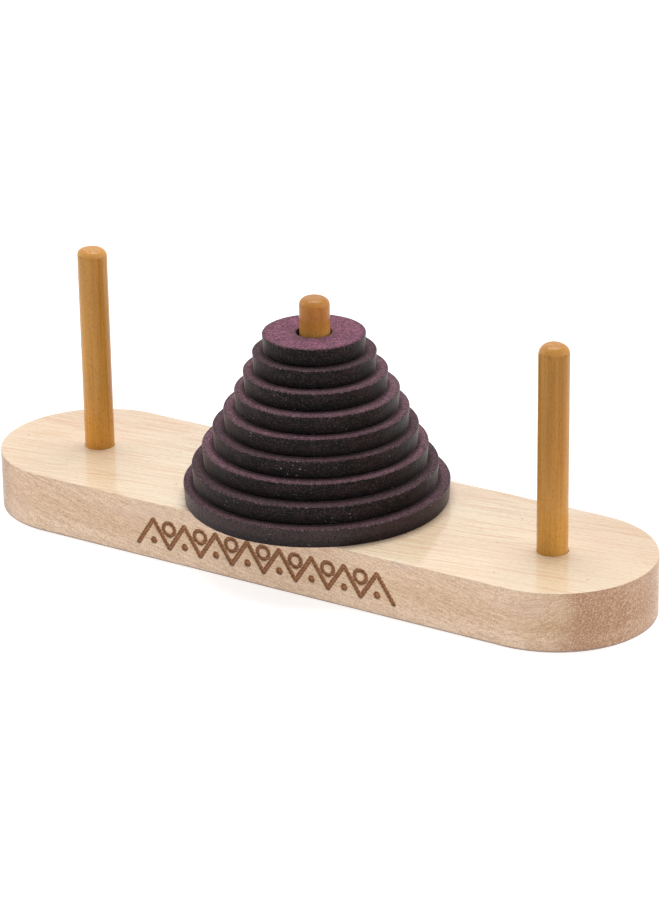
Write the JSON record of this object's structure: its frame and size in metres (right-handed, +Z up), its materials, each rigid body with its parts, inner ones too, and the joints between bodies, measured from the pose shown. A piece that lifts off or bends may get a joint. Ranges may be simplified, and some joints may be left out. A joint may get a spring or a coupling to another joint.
{
  "type": "tower of hanoi puzzle",
  "caption": "Wooden disc-stacking puzzle: a round-ended board with three upright dowel pegs and a tapering stack of loose dyed discs on the centre peg.",
  "frame": {"origin": "centre of the board's underside, below the centre peg", "axes": "+X along the row of pegs towards the right peg, -Y towards the front with the engraved band, +Z up along the pegs"},
  "size_m": [0.23, 0.0826, 0.0852],
  "materials": {
    "maple_board": "satin, pale maple with an engraved brown band",
    "lacquered_dowel": "glossy amber lacquer over dowel grain",
    "dyed_disc": "matt purple dye on fibreboard with charred dark edges"
  },
  "bodies": {
    "base": {"base_board": "maple_board", "peg_left": "lacquered_dowel", "peg_centre": "lacquered_dowel", "peg_right": "lacquered_dowel"},
    "disc_9": {"disc_9": "dyed_disc"},
    "disc_8": {"disc_8": "dyed_disc"},
    "disc_7": {"disc_7": "dyed_disc"},
    "disc_6": {"disc_6": "dyed_disc"},
    "disc_5": {"disc_5": "dyed_disc"},
    "disc_4": {"disc_4": "dyed_disc"},
    "disc_3": {"disc_3": "dyed_disc"},
    "disc_2": {"disc_2": "dyed_disc"},
    "disc_1": {"disc_1": "dyed_disc"}
  },
  "joints": [
    {"name": "lift_disc_9", "type": "slide", "parent": "base", "child": "disc_9", "axis": [0, 0, 1], "range_m": [0, 0.0689]},
    {"name": "lift_disc_8", "type": "slide", "parent": "disc_9", "child": "disc_8", "axis": [0, 0, 1], "range_m": [0, 0.0629]},
    {"name": "lift_disc_7", "type": "slide", "parent": "disc_8", "child": "disc_7", "axis": [0, 0, 1], "range_m": [0, 0.0569]},
    {"name": "lift_disc_6", "type": "slide", "parent": "disc_7", "child": "disc_6", "axis": [0, 0, 1], "range_m": [0, 0.0509]},
    {"name": "lift_disc_5", "type": "slide", "parent": "disc_6", "child": "disc_5", "axis": [0, 0, 1], "range_m": [0, 0.0449]},
    {"name": "lift_disc_4", "type": "slide", "parent": "disc_5", "child": "disc_4", "axis": [0, 0, 1], "range_m": [0, 0.0389]},
    {"name": "lift_disc_3", "type": "slide", "parent": "disc_4", "child": "disc_3", "axis": [0, 0, 1], "range_m": [0, 0.0329]},
    {"name": "lift_disc_2", "type": "slide", "parent": "disc_3", "child": "disc_2", "axis": [0, 0, 1], "range_m": [0, 0.0269]},
    {"name": "lift_disc_1", "type": "slide", "parent": "disc_2", "child": "disc_1", "axis": [0, 0, 1], "range_m": [0, 0.0209]}
  ]
}
